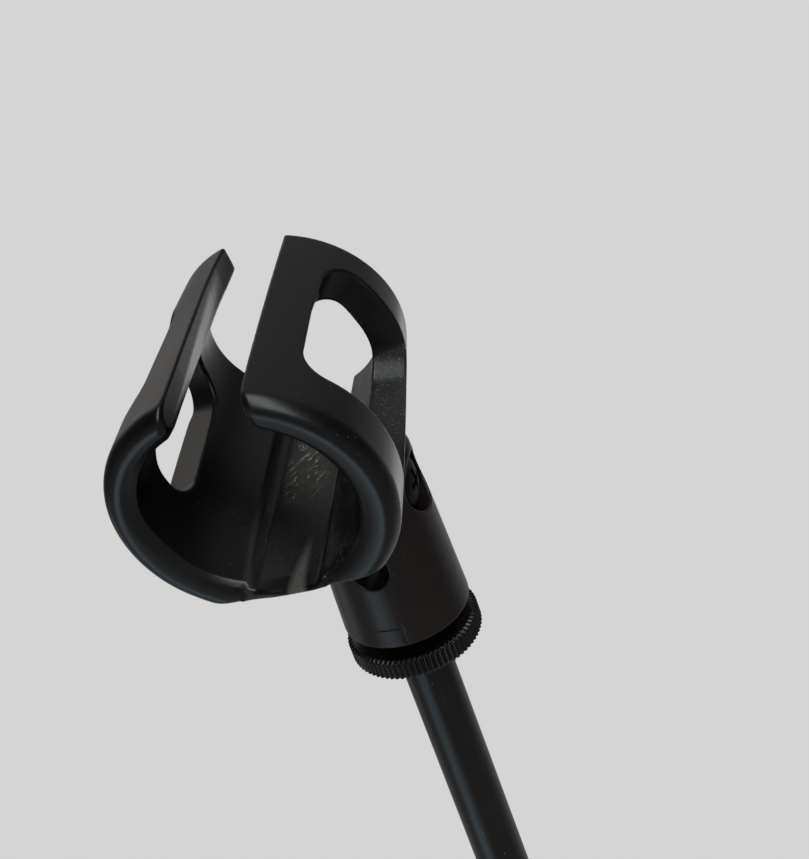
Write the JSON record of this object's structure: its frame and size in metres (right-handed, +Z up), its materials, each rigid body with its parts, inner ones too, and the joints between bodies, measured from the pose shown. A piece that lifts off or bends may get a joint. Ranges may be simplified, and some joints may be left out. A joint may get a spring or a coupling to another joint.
{
  "type": "boom microphone stand",
  "caption": "Tripod floor stand with a telescoping mast, a tilting telescoping boom, a counterweight and a slotted tilting clip for a hand-held microphone.",
  "frame": {"origin": "centre of the mast foot's underside, on the floor, on the mast axis", "axes": "+Z up along the mast, +X the way the boom rises, +Y along the boom's tilt axis"},
  "size_m": [0.5426, 0.5438, 1.2675],
  "materials": {
    "black_paint": "satin black powder coat",
    "cast_black": "textured black paint on zinc casting",
    "cast_iron": "textured black paint",
    "black_plastic": "satin moulded black plastic",
    "rubber": "matt",
    "steel": "zinc plated",
    "black_steel": "black oxide screw and nut",
    "brass": "turned"
  },
  "bodies": {
    "base": {"leg_hub": "cast_black", "leg_pin_a": "steel", "leg_pin_b": "steel", "leg_pin_c": "steel", "mast_tube": "black_paint", "mast_foot": "rubber", "height_clutch": "black_plastic"},
    "leg_a": {"leg_a": "black_paint", "leg_foot_a": "rubber"},
    "leg_b": {"leg_b": "black_paint", "leg_foot_b": "rubber"},
    "leg_c": {"leg_c": "black_paint", "leg_foot_c": "rubber"},
    "hub_screw": {"hub_screw": "steel"},
    "height_grip": {"height_grip": "rubber"},
    "mast_rod": {"mast_rod": "black_paint"},
    "head": {"head_socket": "cast_black", "head_screw": "steel", "friction_disc": "rubber", "pivot_bolt": "steel", "pivot_washer": "steel"},
    "wing": {"pivot_wing": "black_plastic"},
    "clamp": {"boom_clamp": "cast_black"},
    "lock_screw": {"boom_lock_screw": "steel"},
    "boom": {"boom_tube": "black_paint", "boom_end_cap": "black_plastic", "boom_clutch": "black_plastic"},
    "boom_grip": {"boom_grip": "rubber"},
    "counterweight": {"counterweight": "cast_iron"},
    "weight_screw": {"counterweight_screw": "steel"},
    "rod": {"boom_rod": "black_paint", "rod_stud": "steel"},
    "ring": {"adapter_ring": "black_plastic"},
    "neck": {"clip_neck": "black_plastic", "neck_insert": "brass", "hinge_bolt": "black_steel", "hinge_nut": "black_steel"},
    "clip": {"mic_clip": "black_plastic"}
  },
  "joints": [
    {"name": "leg_fold_a", "type": "hinge", "parent": "base", "child": "leg_a", "pos_m": [0.036, 0, 0.118], "axis": [0, -1, 0], "range_deg": [0, 105]},
    {"name": "leg_fold_b", "type": "hinge", "parent": "base", "child": "leg_b", "pos_m": [-0.018, 0.03118, 0.118], "axis": [0.866, 0.5, 0], "range_deg": [0, 105]},
    {"name": "leg_fold_c", "type": "hinge", "parent": "base", "child": "leg_c", "pos_m": [-0.018, -0.03118, 0.118], "axis": [-0.866, 0.5, 0], "range_deg": [0, 105]},
    {"name": "hub_screw_turn", "type": "hinge", "parent": "base", "child": "hub_screw", "pos_m": [0.015, 0.02598, 0.116], "axis": [0.5, 0.866, 0], "range_deg": [0, 180]},
    {"name": "height_grip_turn", "type": "hinge", "parent": "base", "child": "height_grip", "pos_m": [0, 0, 0.595], "axis": [0, 0, 1], "range_deg": [0, 120]},
    {"name": "mast_extend", "type": "slide", "parent": "base", "child": "mast_rod", "axis": [0, 0, 1], "range_m": [-0.1, 0.38]},
    {"name": "head_swivel", "type": "hinge", "parent": "mast_rod", "child": "head", "pos_m": [0, 0, 0.79], "axis": [0, 0, 1], "continuous": true},
    {"name": "boom_tilt", "type": "hinge", "parent": "head", "child": "clamp", "pos_m": [0, 0, 0.85], "axis": [0, 1, 0], "range_deg": [-25, 95]},
    {"name": "wing_turn", "type": "hinge", "parent": "head", "child": "wing", "pos_m": [0, 0.045, 0.85], "axis": [0, 1, 0], "range_deg": [0, 180]},
    {"name": "lock_screw_turn", "type": "hinge", "parent": "clamp", "child": "lock_screw", "pos_m": [-0.02988, 0.0194, 0.87507], "axis": [-0.766, 0, 0.6428], "range_deg": [0, 180]},
    {"name": "boom_slide", "type": "slide", "parent": "clamp", "child": "boom", "axis": [0.6428, 0, 0.766], "range_m": [-0.15, 0.05]},
    {"name": "boom_grip_turn", "type": "hinge", "parent": "boom", "child": "boom_grip", "pos_m": [0.16992, 0.0194, 1.08207], "axis": [0.6428, 0, 0.766], "range_deg": [0, 120]},
    {"name": "counterweight_slide", "type": "slide", "parent": "boom", "child": "counterweight", "axis": [0.6428, 0, 0.766], "range_m": [-0.01, 0.03]},
    {"name": "weight_screw_turn", "type": "hinge", "parent": "counterweight", "child": "weight_screw", "pos_m": [-0.15967, 0.0194, 0.73595], "axis": [-0.766, 0, 0.6428], "range_deg": [0, 180]},
    {"name": "boom_extend", "type": "slide", "parent": "boom", "child": "rod", "axis": [0.6428, 0, 0.766], "range_m": [-0.1, 0.16]},
    {"name": "ring_turn", "type": "hinge", "parent": "rod", "child": "ring", "pos_m": [0.27149, 0.0194, 1.2031], "axis": [0.6428, 0, 0.766], "range_deg": [-180, 180]},
    {"name": "neck_turn", "type": "hinge", "parent": "rod", "child": "neck", "pos_m": [0.28113, 0.0194, 1.21459], "axis": [0.6428, 0, 0.766], "range_deg": [-180, 180]},
    {"name": "clip_tilt", "type": "hinge", "parent": "neck", "child": "clip", "pos_m": [0.2927, 0.0194, 1.22838], "axis": [0, 1, 0], "range_deg": [-83, 88]}
  ]
}
